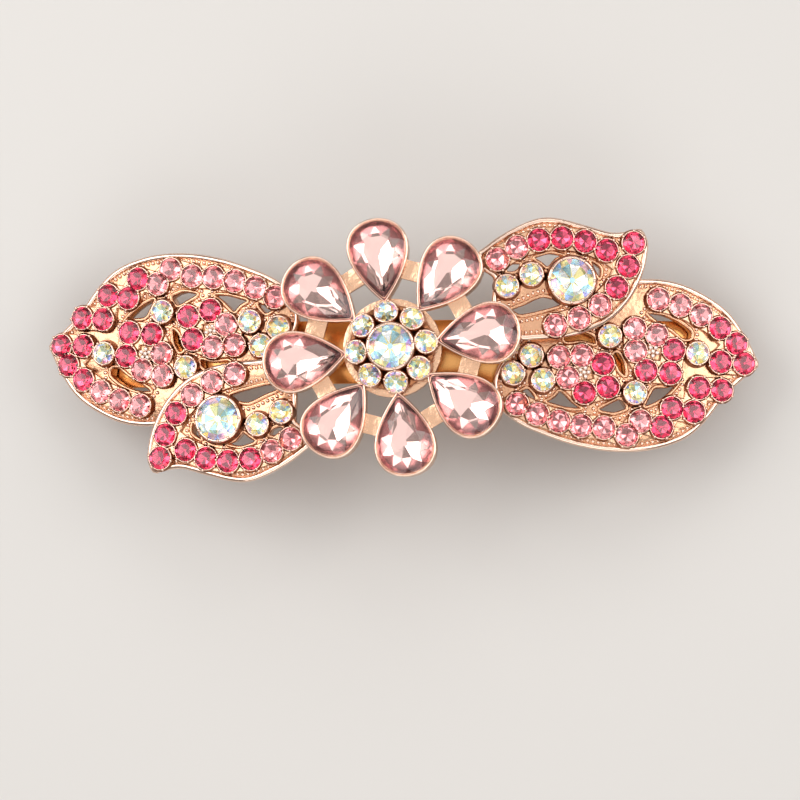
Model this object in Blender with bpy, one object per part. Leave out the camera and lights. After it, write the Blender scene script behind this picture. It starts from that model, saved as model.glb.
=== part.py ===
"""Rhinestone barrette lying on its clip, stones up.

Lengths are millimetres until a mesh is made; meshes are in metres, +Z up. The origin is on
the table under the middle of the flower, +X runs along the barrette and +Y across it.
The leaves on the right are those on the left after half a turn about Z.
"""

import math

import bmesh
import bpy
from mathutils import Matrix, Vector
from mathutils.geometry import interpolate_bezier

MM = 0.001

# Clip plate: an arched strip that carries everything else
STAND_HEIGHT = 13.8
ARCH_RADIUS = 129.0
PLATE_LENGTH = 85.0
PLATE_WIDTH = 8.5
PLATE_THICKNESS = 0.8
END_HOLE_DIAMETER = 1.6
END_HOLE_INSET = 2.4
END_HOLE_PITCH = 2.8

# Gaps between pieces that are glued, riveted or stacked on each other
SEAT_GAP = 0.3
STONE_GAP = 0.12
SHEET_GAP = 0.15

# Clip under the plate
BRACKET_INSET = 11.0
BRACKET_LENGTH = 8.5
BRACKET_THICKNESS = 0.6
EAR_THICKNESS = 0.6
EAR_FOOT_LENGTH = 3.6
PIN_DIAMETER = 1.2
PIN_CLEARANCE = 0.15
BORE_CLEARANCE = 0.3
KNUCKLE_WALL = 0.6
RIVET_DIAMETER = 1.8
RIVET_CLEARANCE = 0.2
RIVET_HEAD_DIAMETER = 3.2
RIVET_HEAD_THICKNESS = 0.5
RIVET_OFFSET = 1.6
ARM_DEPTH = 8.5
ARM_END_DEPTH = 5.6
ARM_THICKNESS = 0.8
ARM_WIDTH = 6.8
ARM_TIP_WIDTH = 5.2
ARM_RAIL = 1.1
ARM_STEP_INSET = 7.0
ARM_STEP_LENGTH = 3.0
ARM_OVERHANG = 3.3
ARM_SIDE_CLEARANCE = 0.3
BOW_WIDTH = 4.6
BOW_THICKNESS = 0.35
BOW_DEPTH = 5.7
BOW_RISE_INSET = 6.5
BOW_RISE_LENGTH = 14.0
BOW_TAIL = 4.5
CATCH_LENGTH = 5.2
PRONG_THICKNESS = 0.6
PRONG_FLARE = 1.2
LIP_DEPTH = 0.35
LIP_HEIGHT = 0.6

# Leaf castings and their stones
LARGE_LEAF_THICKNESS = 2.0
SMALL_LEAF_THICKNESS = 1.8
PAVE_DIAMETER = 2.8
PAVE_HEIGHT = 1.2
BED_THICKNESS = 0.5
BED_HALF_WIDTH = 0.9
CRYSTAL_DIAMETER = 2.9
CRYSTAL_HEIGHT = 1.5
LARGE_CRYSTAL_DIAMETER = 5.8
LARGE_CRYSTAL_HEIGHT = 2.2
TABLE_SHARE = 0.55

# Flower of teardrops and the rosette in its middle
PETALS = 8
PETAL_TURN = math.radians(8.0)
PETAL_TIP_RADIUS = 6.0
PETAL_LENGTH = 11.3
PETAL_WIDTH = 8.1
CUP_HEIGHT = 3.2
CUP_WALL = 0.45
CUP_FLOOR = 1.2
PETAL_CROWN = 1.3
LINK_RADIUS = 10.6
LINK_LENGTH = 2.6
LINK_WIDTH = 3.0
LINK_THICKNESS = 1.2
HUB_RADIUS = 6.6
HUB_THICKNESS = 1.6
POST_RADIUS = 2.4
ROSETTE_RADIUS = PETAL_TIP_RADIUS - SEAT_GAP
ROSETTE_TOP_RADIUS = 3.0
ROSETTE_EDGE = 0.4
ROSETTE_HEIGHT = 1.4
CENTRE_DIAMETER = 5.8
CENTRE_HEIGHT = 2.1
HALO_RADIUS = 4.4

CURVE_STEP = 1.3
CIRCLE_SIDES = 16
STONE_SIDES = 8
PETAL_SIDES = 28

# Places along the plate, from its middle
BRACKET_X = PLATE_LENGTH / 2 - BRACKET_INSET
ARM_STEP_END = BRACKET_X - ARM_STEP_INSET
ARM_STEP_START = ARM_STEP_END - ARM_STEP_LENGTH
BOW_RISE_END = BRACKET_X - BOW_RISE_INSET
BOW_FLAT_HALF = BOW_RISE_END - BOW_RISE_LENGTH

# Heights above the plate's top
LARGE_LEAF_TOP = SEAT_GAP + LARGE_LEAF_THICKNESS
SMALL_LEAF_BASE = LARGE_LEAF_TOP + SEAT_GAP
SMALL_LEAF_TOP = SMALL_LEAF_BASE + SMALL_LEAF_THICKNESS
CUP_BASE = SMALL_LEAF_TOP + SEAT_GAP
CUP_TOP = CUP_BASE + CUP_HEIGHT
HUB_BASE = CUP_BASE + 0.2
HUB_TOP = HUB_BASE + HUB_THICKNESS
ROSETTE_BASE = HUB_TOP + SEAT_GAP
BOW_TOP = -PLATE_THICKNESS - SHEET_GAP
BRACKET_TOP = BOW_TOP - BOW_THICKNESS - SHEET_GAP
BRACKET_UNDERSIDE = BRACKET_TOP - BRACKET_THICKNESS

# Plan of the left leaves. Each outline is three smooth runs that meet in corners.
LARGE_OUTLINE = (
    ((-47.9, 1.7), (-45.8, 3.5), (-43.4, 5.9), (-40.7, 9.4), (-37.9, 11.7), (-33.5, 13.1),
     (-28.7, 13.3), (-23.9, 12.5), (-19.5, 11.0), (-16.3, 9.5), (-13.6, 7.4)),
    ((-13.6, 7.4), (-13.3, 4.0), (-14.6, 1.2), (-16.5, -1.2)),
    ((-16.5, -1.2), (-20.0, -3.9), (-24.0, -6.4), (-28.5, -8.6), (-33.0, -9.4), (-37.2, -9.0),
     (-41.1, -7.3), (-44.3, -4.8), (-46.8, -0.9), (-47.9, 1.7)),
)
LARGE_OPENINGS = (
    ((-33.0, 7.5), (-35.0, 6.7), (-36.6, 5.4), (-37.5, 4.3), (-36.0, 4.8), (-34.4, 5.0), (-33.7, 6.0)),
    ((-30.7, 7.7), (-28.8, 8.4), (-27.0, 8.0), (-28.4, 7.1), (-29.9, 6.5)),
    ((-24.7, 7.8), (-23.1, 7.8), (-20.0, 6.9), (-21.1, 6.3), (-21.9, 5.4), (-23.4, 6.8)),
    ((-18.7, 6.4), (-18.2, 6.6), (-16.5, 5.9), (-17.6, 5.1)),
    ((-39.2, -1.7), (-38.2, -1.6), (-36.6, -2.9), (-34.6, -4.0), (-33.4, -5.0), (-35.5, -4.9),
     (-37.8, -3.9), (-39.3, -2.6)),
    ((-30.6, 3.4), (-29.8, 2.9), (-28.9, 0.6), (-29.6, 0.2), (-30.4, 1.6)),
    ((-26.6, -0.8), (-24.9, -1.2), (-22.6, -1.1), (-22.4, -1.9), (-24.8, -2.6), (-26.4, -1.9)),
)
SMALL_OUTLINE = (
    ((-17.0, -1.4), (-21.1, -1.7), (-24.1, -2.2), (-27.5, -3.7), (-29.8, -5.8), (-31.4, -8.2),
     (-32.6, -11.4), (-32.9, -14.4), (-32.2, -15.9)),
    ((-32.2, -15.9), (-30.2, -15.5), (-28.2, -15.4), (-25.4, -16.2), (-21.5, -17.2), (-19.0, -17.2),
     (-16.2, -16.1), (-13.2, -14.3), (-11.2, -12.6)),
    ((-11.2, -12.6), (-11.5, -10.9), (-13.2, -9.6), (-13.1, -6.9), (-13.3, -4.8), (-14.6, -2.6),
     (-17.0, -1.4)),
)
SMALL_OPENINGS = (
    ((-15.4, -5.2), (-16.4, -4.5), (-19.2, -5.0), (-22.0, -6.0), (-19.6, -7.0), (-17.2, -6.0)),
    ((-26.9, -9.4), (-27.0, -10.9), (-25.7, -11.8)),
    ((-22.3, -12.4), (-20.2, -12.8), (-18.4, -12.2), (-19.3, -11.5), (-20.2, -10.9), (-21.2, -12.0)),
    ((-16.6, -11.4), (-15.2, -11.4), (-14.7, -10.4), (-15.5, -10.2), (-16.3, -10.6)),
)

# Rows of stones as arcs: start, a point on the way, end, number of stones
LARGE_UPPER_ROW = ((-16.2, 7.3), (-21.65, 9.57), (-27.6, 10.4), 5)
LARGE_OUTER_ROW = ((-30.6, 11.4), (-39.6, 8.0), (-46.0, 1.55), 5)
LARGE_INNER_ROW = ((-32.4, 9.5), (-38.3, 6.5), (-42.9, 1.4), 4)
LARGE_RETURN_ROW = ((-45.0, -1.1), (-40.4, -4.85), (-34.8, -6.9), 5)
SMALL_UPPER_ROW = ((-31.2, -14.2), (-27.9, -6.8), (-21.1, -3.1), 6)
SMALL_LOWER_ROW = ((-27.7, -13.2), (-21.5, -14.8), (-13.6, -11.9), 6)

# Hearts: a ring of six stones, wide at one end. Middle and direction of the narrow end.
TIP_HEART = ((-34.05, 0.1), math.radians(-52.0))
INNER_HEART = ((-25.0, 3.0), math.radians(-32.0))
HEART_RING = ((-3.7, 0.0), (-1.5, 2.3), (1.4, 1.75), (3.8, 0.0), (1.4, -1.75), (-1.5, -2.3))

LARGE_LEAF_CRYSTALS = {
    "tip": (-39.9, 0.3),
    "upper": (-31.7, 5.7),
    "lower": (-28.4, -1.9),
    "cluster_top": (-19.6, 4.1),
    "cluster_inner": (-15.7, 3.2),
    "cluster_low": (-18.1, 0.8),
}
SMALL_LEAF_CRYSTALS = {
    "stem_outer": (-18.0, -9.9),
    "stem_inner": (-14.8, -8.3),
}
LARGE_CRYSTAL_PLACE = (-23.2, -9.1)


for leftover in list(bpy.data.objects):
    bpy.data.objects.remove(leftover)


def arch_angle(x, level=LARGE_LEAF_TOP):
    """Tilt of the arch at plan place x, where x is measured at the given height above the plate."""
    return math.asin(x / (ARCH_RADIUS + level))


def arched(x, y, h, level=0.0):
    """The point at height h above the plate's top, over plan place x, y."""
    angle = arch_angle(x, level)
    radius = ARCH_RADIUS + h
    return Vector((radius * math.sin(angle), y, STAND_HEIGHT - ARCH_RADIUS + radius * math.cos(angle)))


def on_ornament(x, y, h):
    return arched(x, y, h, LARGE_LEAF_TOP)


def smoothstep(value):
    value = min(max(value, 0.0), 1.0)
    return value * value * (3.0 - 2.0 * value)


def smooth_curve(points, closed=False):
    """Points about one CURVE_STEP apart on the smooth curve through the given points."""
    knots = [Vector((x, y, 0.0)) for x, y in points]
    count = len(knots)

    def handle(i):
        if closed:
            return (knots[(i + 1) % count] - knots[i - 1]) / 6.0
        return (knots[min(i + 1, count - 1)] - knots[max(i - 1, 0)]) / 6.0

    curve = []
    for i in range(count if closed else count - 1):
        after = (i + 1) % count
        samples = max(2, round((knots[after] - knots[i]).length / CURVE_STEP) + 1)
        run = interpolate_bezier(
            knots[i], knots[i] + handle(i), knots[after] - handle(after), knots[after], samples
        )
        curve += [(p.x, p.y) for p in run[:-1]]
    return curve


def outline(runs):
    return [point for run in runs for point in smooth_curve(run)]


def circle(radius, x=0.0, y=0.0, sides=CIRCLE_SIDES):
    angles = [2.0 * math.pi * (i + 0.5) / sides for i in range(sides)]
    return [(x + radius * math.cos(a), y + radius * math.sin(a)) for a in angles]


def arc_row(start, middle, end, count):
    """Evenly spaced points on the circular arc from start through middle to end."""
    a, b, c = (complex(*p) for p in (start, middle, end))
    ratio = (c - a) / (b - a)
    centre = a - (a - b) * (ratio - abs(ratio) ** 2) / (2j * ratio.imag)
    spoke = a - centre
    sweep = math.atan2(((c - centre) / spoke).imag, ((c - centre) / spoke).real)
    row = []
    for i in range(count):
        turn = sweep * i / (count - 1)
        point = centre + spoke * complex(math.cos(turn), math.sin(turn))
        row.append((point.real, point.imag))
    return row


def offset_chain(chain, distance):
    """The open chain of points moved sideways, to the left of its direction."""
    moved = []
    for i, (x, y) in enumerate(chain):
        before = Vector(chain[max(i - 1, 0)])
        after = Vector(chain[min(i + 1, len(chain) - 1)])
        along = (after - before).normalized()
        moved.append((x - along.y * distance, y + along.x * distance))
    return moved


def slab(loops, low, high):
    """A closed flat slab. The first loop is its outline and the others are openings."""
    bm = bmesh.new()
    edges = []
    for loop in loops:
        ring = [bm.verts.new((x, y, high)) for x, y in loop]
        edges += [bm.edges.new(pair) for pair in zip(ring, ring[1:] + ring[:1])]
    bmesh.ops.triangle_fill(bm, use_beauty=True, edges=edges)
    lower = bmesh.ops.extrude_face_region(bm, geom=list(bm.faces))
    for item in lower["geom"]:
        if isinstance(item, bmesh.types.BMVert):
            item.co.z = low
    bmesh.ops.recalc_face_normals(bm, faces=bm.faces)
    return bm


def lofted(rings):
    """A closed solid through rings of points, bottom first, with flat ends."""
    bm = bmesh.new()
    made = [[bm.verts.new(point) for point in ring] for ring in rings]
    for lower, upper in zip(made, made[1:]):
        for i in range(len(lower)):
            j = (i + 1) % len(lower)
            bm.faces.new((lower[i], lower[j], upper[j], upper[i]))
    bm.faces.new(made[0][::-1])
    bm.faces.new(made[-1])
    bmesh.ops.recalc_face_normals(bm, faces=bm.faces)
    return bm


def turned(profile, sides=CIRCLE_SIDES):
    """A solid turned about Z through (radius, height) corners, bottom first."""
    return lofted([[(x, y, h) for x, y in circle(r, sides=sides)] for r, h in profile])


def moved(bm, place):
    """The same solid with every corner put through the place function."""
    for vert in bm.verts:
        vert.co = place(*vert.co)
    bmesh.ops.recalc_face_normals(bm, faces=bm.faces)
    return bm


def gathered(solids):
    """Several solids in one bmesh."""
    whole = bmesh.new()
    for solid in solids:
        piece = bpy.data.meshes.new("piece")
        solid.to_mesh(piece)
        solid.free()
        whole.from_mesh(piece)
        bpy.data.meshes.remove(piece)
    return whole


def combined(first, second, operation):
    """One solid from two by a Boolean, in millimetres."""
    helpers = []
    for bm in (first, second):
        mesh = bpy.data.meshes.new("helper")
        bm.to_mesh(mesh)
        bm.free()
        helper = bpy.data.objects.new("helper", mesh)
        bpy.context.collection.objects.link(helper)
        helpers.append(helper)
    boolean = helpers[0].modifiers.new("combine", "BOOLEAN")
    boolean.operation = operation
    boolean.solver = "EXACT"
    boolean.use_self = True
    boolean.object = helpers[1]
    result = bmesh.new()
    result.from_object(helpers[0], bpy.context.evaluated_depsgraph_get())
    for helper in helpers:
        mesh = helper.data
        bpy.data.objects.remove(helper)
        bpy.data.meshes.remove(mesh)
    bmesh.ops.triangulate(result, faces=result.faces)
    bmesh.ops.remove_doubles(result, verts=result.verts, dist=0.0005)
    bmesh.ops.dissolve_degenerate(result, edges=result.edges, dist=0.0005)
    return result


def material(name, colour, metallic, roughness):
    made = bpy.data.materials.new(name)
    made.use_nodes = True
    shader = made.node_tree.nodes["Principled BSDF"]
    shader.inputs["Base Color"].default_value = (*colour, 1.0)
    shader.inputs["Metallic"].default_value = metallic
    shader.inputs["Roughness"].default_value = roughness
    made.diffuse_color = (*colour, 1.0)
    return made


ROSE_GOLD = material("rose_gold_plated_casting", (0.83, 0.50, 0.32), 1.0, 0.2)
GILT_STEEL = material("gilt_steel_sheet", (0.80, 0.55, 0.26), 1.0, 0.25)
SPRING_STEEL = material("spring_steel", (0.55, 0.53, 0.50), 1.0, 0.3)
ROSE_GLASS = material("rose_glass_pave", (0.55, 0.08, 0.22), 0.0, 0.05)
CRYSTAL = material("aurora_coated_crystal", (0.75, 0.78, 0.80), 0.0, 0.05)
PINK_GLASS = material("pale_pink_glass", (0.85, 0.62, 0.62), 0.0, 0.05)


def solid_mesh(name, bm, finish):
    """A mesh in metres from a solid in millimetres."""
    bmesh.ops.scale(bm, vec=(MM, MM, MM), verts=bm.verts)
    bmesh.ops.recalc_face_normals(bm, faces=bm.faces)
    mesh = bpy.data.meshes.new(name)
    bm.to_mesh(mesh)
    bm.free()
    mesh.materials.append(finish)
    return mesh


def put(name, mesh, parent=None, place=(0.0, 0.0, 0.0), turn=(0.0, 0.0, 0.0)):
    """An object that shows the mesh, placed in millimetres."""
    thing = bpy.data.objects.new(name, mesh)
    bpy.context.collection.objects.link(thing)
    thing.parent = parent
    thing.location = Vector(place) * MM
    thing.rotation_euler = turn
    return thing


def empty(name, turn=0.0):
    return put(name, None, turn=(0.0, 0.0, turn))


def clip_place(depth):
    """Places a flat sheet under the plate; depth gives its top's distance below the underside at x."""
    return lambda x, y, h: arched(x, y, h - PLATE_THICKNESS - depth(x))


def upright(x, z, y):
    return Vector((x, y, z))


def strip(left, right, half_width_at, end_reach=0.0):
    """Outline of a strip along X whose half width follows a function, with rounded ends."""
    count = round((right - left) / CURVE_STEP)
    xs = [left + (right - left) * i / count for i in range(count + 1)]
    lower = [(x, -half_width_at(x)) for x in xs]
    upper = [(x, half_width_at(x)) for x in reversed(xs)]
    if not end_reach:
        return lower + upper
    angles = [math.pi * (i / 6 - 0.5) for i in range(1, 6)]
    wide = half_width_at(right)
    end = [(right + end_reach * math.cos(a), wide * math.sin(a)) for a in angles]
    wide = half_width_at(left)
    start = [(left - end_reach * math.cos(a), -wide * math.sin(a)) for a in angles]
    return lower + end + upper + start


# Clip plate
half_width = PLATE_WIDTH / 2
half_straight = PLATE_LENGTH / 2 - half_width
hinge_rivet_x = -BRACKET_X - RIVET_OFFSET
catch_rivet_x = BRACKET_X
rivet_hole = RIVET_DIAMETER / 2 + RIVET_CLEARANCE
plate_loops = [strip(-half_straight, half_straight, lambda x: half_width, half_width)]
for side in (-1, 1):
    for i in range(2):
        hole_x = side * (PLATE_LENGTH / 2 - END_HOLE_INSET - i * END_HOLE_PITCH)
        plate_loops.append(circle(END_HOLE_DIAMETER / 2, hole_x, sides=8))
for rivet_x in (hinge_rivet_x, catch_rivet_x):
    plate_loops.append(circle(rivet_hole, rivet_x))
plate = moved(slab(plate_loops, -PLATE_THICKNESS, 0.0), arched)
put("clip_plate", solid_mesh("clip_plate", plate, GILT_STEEL))


# Hinge bracket: a base under the plate with two ears that stand on the table
def arm_depth(x):
    rise = smoothstep((abs(x) - ARM_STEP_START) / (ARM_STEP_END - ARM_STEP_START))
    return ARM_DEPTH + (ARM_END_DEPTH - ARM_DEPTH) * rise


pin_place = arched(-BRACKET_X, 0.0, -PLATE_THICKNESS - ARM_END_DEPTH - ARM_THICKNESS / 2)
pin_radius = PIN_DIAMETER / 2
ear_inside = ARM_WIDTH / 2
knuckle_half = ear_inside - ARM_SIDE_CLEARANCE
base_half = ear_inside + EAR_THICKNESS / 2
base_left = -BRACKET_X - BRACKET_LENGTH * 0.6
base_right = base_left + BRACKET_LENGTH
base_loops = [
    strip(base_left, base_right, lambda x: base_half),
    circle(rivet_hole, hinge_rivet_x),
]
bracket = moved(slab(base_loops, BRACKET_UNDERSIDE, BRACKET_TOP), arched)
mid_height = (BRACKET_TOP + BRACKET_UNDERSIDE) / 2
ear_left = arched(base_left + 0.4, 0.0, mid_height)
ear_right = arched(base_right - 0.4, 0.0, mid_height)
foot_left = pin_place.x - EAR_FOOT_LENGTH / 2
ear_loops = [
    [
        (ear_left.x, ear_left.z),
        (foot_left, 0.0),
        (foot_left + EAR_FOOT_LENGTH, 0.0),
        (ear_right.x, ear_right.z),
    ],
    circle(pin_radius + PIN_CLEARANCE, pin_place.x, pin_place.z),
]
ears = []
for side in (-1, 1):
    faces = sorted((side * ear_inside, side * (ear_inside + EAR_THICKNESS)))
    ears.append(moved(slab(ear_loops, *faces), upright))
bracket = combined(bracket, gathered(ears), "UNION")
put("hinge_bracket", solid_mesh("hinge_bracket", bracket, GILT_STEEL))


# Rivets, flush with the plate's top so that the leaves lie over them
def rivet(name, x):
    head_top = BRACKET_UNDERSIDE - SHEET_GAP
    profile = (
        (RIVET_HEAD_DIAMETER / 2, head_top - RIVET_HEAD_THICKNESS),
        (RIVET_HEAD_DIAMETER / 2, head_top),
        (RIVET_DIAMETER / 2, head_top),
        (RIVET_DIAMETER / 2, -SHEET_GAP),
    )
    place = arched(x, 0.0, 0.0)
    put(name, solid_mesh(name, turned(profile), SPRING_STEEL), place=place, turn=(0.0, arch_angle(x, 0.0), 0.0))


rivet("hinge_rivet", hinge_rivet_x)
rivet("catch_rivet", catch_rivet_x)

# Hinge pin along Y through both ears
pin_half = ear_inside + EAR_THICKNESS + 0.4
pin = turned(((pin_radius, -pin_half), (pin_radius, pin_half)))
pin_turn = (math.radians(90.0), 0.0, 0.0)
put("hinge_pin", solid_mesh("hinge_pin", pin, SPRING_STEEL), place=pin_place, turn=pin_turn)

# Clip arm: two rails with a bridge, a knuckle round the pin and a rounded tip
bore_radius = pin_radius + BORE_CLEARANCE
knuckle_radius = bore_radius + KNUCKLE_WALL
arm_left = -BRACKET_X + bore_radius + KNUCKLE_WALL / 2
arm_right = BRACKET_X + ARM_OVERHANG - ARM_TIP_WIDTH / 2


def arm_half_width(x):
    if x < 0.0:
        return knuckle_half
    rise = smoothstep((x - ARM_STEP_START) / (ARM_STEP_END - ARM_STEP_START))
    return knuckle_half + (ARM_TIP_WIDTH / 2 - knuckle_half) * rise


def slot_half_width(x):
    return arm_half_width(x) - ARM_RAIL


arm_outline = strip(arm_left, arm_right, arm_half_width)
tip_angles = [math.pi * (i / 8 - 0.5) for i in range(1, 8)]
tip = [(arm_right + ARM_TIP_WIDTH / 2 * math.cos(a), ARM_TIP_WIDTH / 2 * math.sin(a)) for a in tip_angles]
half_count = len(arm_outline) // 2
arm_outline = arm_outline[:half_count] + tip + arm_outline[half_count:]
arm_loops = [
    arm_outline,
    strip(-ARM_STEP_END - 2.0, 9.0, slot_half_width),
    strip(11.0, BRACKET_X - 2.0, slot_half_width),
]
arm = moved(slab(arm_loops, -ARM_THICKNESS, 0.0), clip_place(arm_depth))
knuckle_loops = [
    circle(knuckle_radius, pin_place.x, pin_place.z),
    circle(bore_radius, pin_place.x, pin_place.z),
]
knuckle = moved(slab(knuckle_loops, -knuckle_half - 0.05, knuckle_half + 0.05), upright)
arm = combined(arm, knuckle, "UNION")
bmesh.ops.translate(arm, vec=-pin_place, verts=arm.verts)
put("clip_arm", solid_mesh("clip_arm", arm, GILT_STEEL), place=pin_place)


# Tension bow: a springy strip held under both brackets, bowed down to the arm
def bow_depth(x):
    return SHEET_GAP + BOW_DEPTH * smoothstep((BOW_RISE_END - abs(x)) / (BOW_RISE_END - BOW_FLAT_HALF))


bow_left = hinge_rivet_x - BOW_TAIL / 2
bow_right = catch_rivet_x + BOW_TAIL / 2
bow_loops = [
    strip(bow_left, bow_right, lambda x: BOW_WIDTH / 2),
    circle(rivet_hole, hinge_rivet_x),
    circle(rivet_hole, catch_rivet_x),
]
bow = moved(slab(bow_loops, -BOW_THICKNESS, 0.0), clip_place(bow_depth))
put("tension_bow", solid_mesh("tension_bow", bow, SPRING_STEEL))

# Catch: a riveted base and two springy prongs that stand on the table
prong_inside = ARM_TIP_WIDTH / 2 + ARM_SIDE_CLEARANCE + LIP_DEPTH
catch_half = prong_inside - SEAT_GAP
catch_loops = [
    strip(BRACKET_X - CATCH_LENGTH / 2, BRACKET_X + CATCH_LENGTH / 2, lambda x: catch_half),
    circle(rivet_hole, catch_rivet_x),
]
catch = moved(slab(catch_loops, BRACKET_UNDERSIDE, BRACKET_TOP), arched)
put("catch_base", solid_mesh("catch_base", catch, GILT_STEEL))

catch_tilt = arch_angle(BRACKET_X, 0.0)
root = arched(BRACKET_X, 0.0, -PLATE_THICKNESS - SEAT_GAP)
along = Vector((math.cos(catch_tilt), 0.0, -math.sin(catch_tilt)))
down = Vector((-math.sin(catch_tilt), 0.0, -math.cos(catch_tilt)))
lip_top = ARM_END_DEPTH + ARM_THICKNESS
prong_outside = prong_inside + PRONG_THICKNESS
prong_profile = (
    (prong_inside, 0.0),
    (prong_inside, lip_top),
    (prong_inside - LIP_DEPTH, lip_top + LIP_HEIGHT * 0.4),
    (prong_inside, lip_top + LIP_HEIGHT),
    (prong_inside + PRONG_FLARE, None),
    (prong_outside + PRONG_FLARE, None),
    (prong_outside, lip_top + LIP_HEIGHT * 0.8),
    (prong_outside, 0.0),
)
flex_axis = root + down * 0.3


def prong_ring(side, reach):
    """One end of a prong; corners without a depth lie on the table."""
    ring = []
    for y, depth in prong_profile:
        corner = root + along * reach
        if depth is None:
            depth = -corner.z / down.z
        corner = corner + down * depth
        corner.y = side * y
        ring.append(corner)
    return ring


for name, side in (("catch_prong_front", -1), ("catch_prong_rear", 1)):
    prong = lofted([prong_ring(side, reach) for reach in (-CATCH_LENGTH / 2, CATCH_LENGTH / 2)])
    origin = Vector((flex_axis.x, side * (prong_inside + PRONG_THICKNESS / 2), flex_axis.z))
    bmesh.ops.translate(prong, vec=-origin, verts=prong.verts)
    put(name, solid_mesh(name, prong, GILT_STEEL), place=origin)

# Leaf castings, the same on both sides after half a turn
sides = {"left": empty("left_half"), "right": empty("right_half", math.pi)}


def leaf(name, runs, openings, low, high):
    loops = [outline(runs)] + [smooth_curve(points, closed=True) for points in openings]
    mesh = solid_mesh(name, moved(slab(loops, low, high), on_ornament), ROSE_GOLD)
    for side, half in sides.items():
        put(name + "_" + side, mesh, half)


leaf("large_leaf", LARGE_OUTLINE, LARGE_OPENINGS, SEAT_GAP, LARGE_LEAF_TOP)
leaf("small_leaf", SMALL_OUTLINE, SMALL_OPENINGS, SMALL_LEAF_BASE, SMALL_LEAF_TOP)


# Pave: faceted stones set in one bed along a row
def pave(name, bed, places, seat):
    base = seat + STONE_GAP
    stones = []
    for x, y in places:
        stone = turned(
            ((PAVE_DIAMETER / 2, BED_THICKNESS / 2), (TABLE_SHARE * PAVE_DIAMETER / 2, PAVE_HEIGHT + STONE_GAP)),
            STONE_SIDES,
        )
        bmesh.ops.translate(stone, vec=(x, y, base), verts=stone.verts)
        stones.append(stone)
    whole = combined(slab([bed], base, base + BED_THICKNESS), gathered(stones), "UNION")
    mesh = solid_mesh(name, moved(whole, on_ornament), ROSE_GLASS)
    for side, half in sides.items():
        put(name + "_" + side, mesh, half)


def ribbon(outer, inner):
    """Outline of a bed between an outer and an inner chain of stones."""
    return offset_chain(outer, -BED_HALF_WIDTH) + offset_chain(inner, BED_HALF_WIDTH)[::-1]


upper_row = arc_row(*LARGE_UPPER_ROW)
outer_row = arc_row(*LARGE_OUTER_ROW)
inner_row = arc_row(*LARGE_INNER_ROW)
return_row = arc_row(*LARGE_RETURN_ROW)
large_bed = ribbon(upper_row + outer_row + return_row, upper_row + inner_row + return_row[1:])
pave("large_band_stones", large_bed, upper_row + outer_row + inner_row + return_row, LARGE_LEAF_TOP)

small_upper = arc_row(*SMALL_UPPER_ROW)
small_lower = arc_row(*SMALL_LOWER_ROW)
small_outer = small_upper[::-1] + small_lower
small_inner = small_upper[:1:-1] + small_lower[1:]
pave("small_band_stones", ribbon(small_outer, small_inner), small_upper + small_lower, SMALL_LEAF_TOP)

for name, (middle, direction) in (("tip_heart_stones", TIP_HEART), ("inner_heart_stones", INNER_HEART)):
    spin = Matrix.Rotation(direction, 2)
    ring = [Vector(middle) + spin @ Vector(place) for place in HEART_RING]
    ring = [(point.x, point.y) for point in ring]
    pave(name, ring, ring, LARGE_LEAF_TOP)


# Single crystals on the leaves
def crystal_mesh(name, diameter, height, sides=STONE_SIDES):
    radius = diameter / 2
    profile = ((0.75 * radius, 0.0), (radius, 0.35 * height), (TABLE_SHARE * radius, height))
    return solid_mesh(name, turned(profile, sides), CRYSTAL)


def seat_crystal(name, mesh, half, x, y, seat):
    place = on_ornament(x, y, seat + STONE_GAP)
    put(name, mesh, half, place, (0.0, arch_angle(x), 0.0))


small_crystal = crystal_mesh("small_crystal", CRYSTAL_DIAMETER, CRYSTAL_HEIGHT)
large_crystal = crystal_mesh("large_crystal", LARGE_CRYSTAL_DIAMETER, LARGE_CRYSTAL_HEIGHT, 12)
for side, half in sides.items():
    for spot, (x, y) in LARGE_LEAF_CRYSTALS.items():
        seat_crystal("crystal_" + spot + "_" + side, small_crystal, half, x, y, LARGE_LEAF_TOP)
    for spot, (x, y) in SMALL_LEAF_CRYSTALS.items():
        seat_crystal("crystal_" + spot + "_" + side, small_crystal, half, x, y, SMALL_LEAF_TOP)
    seat_crystal("crystal_large_" + side, large_crystal, half, *LARGE_CRYSTAL_PLACE, SMALL_LEAF_TOP)


# Flower: eight teardrop cups, linked, on a hub with a post that stands on the plate
def teardrop(tip_radius, length, width, height):
    """A teardrop along +X with its point towards the middle of the flower."""
    ring = []
    for i in range(PETAL_SIDES):
        turn = 2.0 * math.pi * i / PETAL_SIDES
        x = tip_radius + length / 2 * (1.0 - math.cos(turn))
        y = width / 2 * math.sin(turn) * math.sin(turn / 2) / 0.77
        ring.append((x, y, height))
    return ring


def spun(solid, turn):
    bmesh.ops.rotate(solid, matrix=Matrix.Rotation(turn, 3, "Z"), verts=solid.verts)
    return solid


def inset_drop(inset, share, height):
    """The cup's teardrop drawn in by an inset, then shrunk about its wide part."""
    length = (PETAL_LENGTH - 2.6 * inset) * share
    width = (PETAL_WIDTH - 2.0 * inset) * share
    full_length = PETAL_LENGTH - 2.6 * inset
    tip_radius = PETAL_TIP_RADIUS + 1.6 * inset + 0.62 * (full_length - length)
    return teardrop(tip_radius, length, width, height)


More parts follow.
